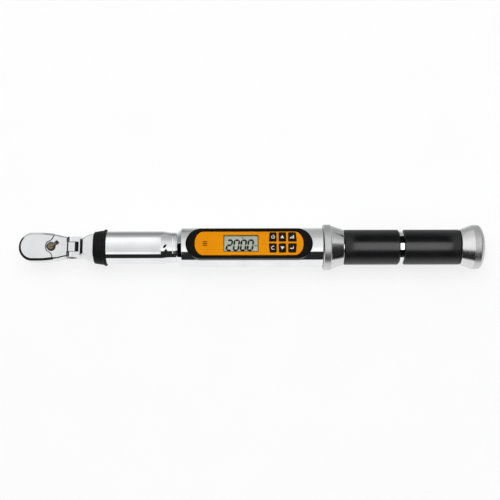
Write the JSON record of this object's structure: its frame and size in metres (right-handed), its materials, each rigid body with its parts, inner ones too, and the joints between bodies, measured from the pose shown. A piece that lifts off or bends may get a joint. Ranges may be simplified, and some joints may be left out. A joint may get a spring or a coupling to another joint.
{
  "type": "electronic torque wrench",
  "caption": "Long flex-head ratcheting torque wrench with a digital display housing, rubber grip and screw-on battery cap.",
  "frame": {"origin": "centre of the square drive's end face", "axes": "+X from the square drive along the handle to the end cap, +Z out of the display, the square drive points -Z"},
  "size_m": [0.4326, 0.0424, 0.0424],
  "materials": {
    "chrome": "polished chrome plate",
    "satin_steel": "fine turned satin finish",
    "dark_steel": "dark oxide finish",
    "rubber": "fine grain, dull",
    "black_plastic": "satin moulded",
    "orange_panel": "printed orange film",
    "window": "clear polished",
    "lcd": "grey-green display",
    "board": "solder mask",
    "spring_steel": "bright drawn wire",
    "brass": "plain",
    "polymer": "plain moulded",
    "film": "thin film",
    "cell": "lacquered can"
  },
  "bodies": {
    "handle": {"flex_pin": "dark_steel", "flex_yoke": "chrome", "strain_gauge_upper": "film", "strain_gauge_lower": "film", "front_collar": "rubber", "front_tube": "chrome", "cross_pin": "dark_steel", "housing": "chrome", "bezel": "black_plastic", "face_panel": "orange_panel", "display_window": "window", "lcd_panel": "lcd", "lcd_carrier": "polymer", "circuit_board": "board", "controller_chip": "black_plastic", "buzzer": "black_plastic", "keypad_mat": "rubber", "flange_collar": "satin_steel", "handle_tube": "satin_steel", "grip_front": "rubber", "grip_ring": "chrome", "grip_rear": "rubber", "battery_liner": "polymer", "front_contact": "brass", "battery_front": "cell", "battery_rear": "cell"},
    "head": {"ratchet_head": "chrome", "cover_plate": "satin_steel", "retaining_ring": "spring_steel", "pawl_pin": "satin_steel"},
    "drive": {"drive_gear": "satin_steel", "detent_spring": "spring_steel"},
    "ball": {"detent_ball": "chrome"},
    "pawl": {"pawl": "dark_steel"},
    "lever": {"reversing_lever": "dark_steel", "pawl_plunger": "satin_steel"},
    "seal": {"cap_seal": "rubber"},
    "cap": {"end_cap": "satin_steel", "battery_spring": "spring_steel", "cap_contact": "brass"},
    "key_power_body": {"key_power": "black_plastic"},
    "key_clear_body": {"key_clear": "black_plastic"},
    "key_up_body": {"key_up": "black_plastic"},
    "key_down_body": {"key_down": "black_plastic"},
    "key_memory_body": {"key_memory": "black_plastic"},
    "key_unit_body": {"key_unit": "black_plastic"}
  },
  "joints": [
    {"name": "flex_pivot", "type": "hinge", "parent": "handle", "child": "head", "pos_m": [0.036, 0, 0.0178], "axis": [0, 1, 0], "range_deg": [-15, 15]},
    {"name": "drive_turn", "type": "hinge", "parent": "head", "child": "drive", "pos_m": [0, 0, 0.0178], "axis": [0, 0, 1], "continuous": true},
    {"name": "reverse_lever", "type": "hinge", "parent": "head", "child": "lever", "pos_m": [0.0174, 0, 0.0178], "axis": [0, 0, 1], "range_deg": [-70, 0]},
    {"name": "pawl_rock", "type": "hinge", "parent": "head", "child": "pawl", "pos_m": [0.0112, 0, 0.0178], "axis": [0, 0, 1], "range_deg": [-0.5, 9.5]},
    {"name": "ball_press", "type": "slide", "parent": "drive", "child": "ball", "axis": [0, 1, 0], "range_m": [0, 0.0005], "stiffness_N_per_m": 3000},
    {"name": "cap_travel", "type": "slide", "parent": "handle", "child": "seal", "axis": [1, 0, 0], "range_m": [0, 0.009]},
    {"name": "cap_turn", "type": "hinge", "parent": "seal", "child": "cap", "pos_m": [0.4, 0, 0.0178], "axis": [1, 0, 0], "range_deg": [0, 2170]},
    {"name": "key_power_press", "type": "slide", "parent": "handle", "child": "key_power_body", "axis": [0, 0, -1], "range_m": [0, 0.0005], "stiffness_N_per_m": 4000},
    {"name": "key_clear_press", "type": "slide", "parent": "handle", "child": "key_clear_body", "axis": [0, 0, -1], "range_m": [0, 0.0005], "stiffness_N_per_m": 4000},
    {"name": "key_up_press", "type": "slide", "parent": "handle", "child": "key_up_body", "axis": [0, 0, -1], "range_m": [0, 0.0005], "stiffness_N_per_m": 4000},
    {"name": "key_down_press", "type": "slide", "parent": "handle", "child": "key_down_body", "axis": [0, 0, -1], "range_m": [0, 0.0005], "stiffness_N_per_m": 4000},
    {"name": "key_memory_press", "type": "slide", "parent": "handle", "child": "key_memory_body", "axis": [0, 0, -1], "range_m": [0, 0.0005], "stiffness_N_per_m": 4000},
    {"name": "key_unit_press", "type": "slide", "parent": "handle", "child": "key_unit_body", "axis": [0, 0, -1], "range_m": [0, 0.0005], "stiffness_N_per_m": 4000}
  ],
  "couplings": [
    {"joint": "cap_turn", "follows": "cap_travel", "rad_per_m": 4188.8},
    {"joint": "pawl_rock", "follows": "reverse_lever", "ratio": -0.12857}
  ]
}
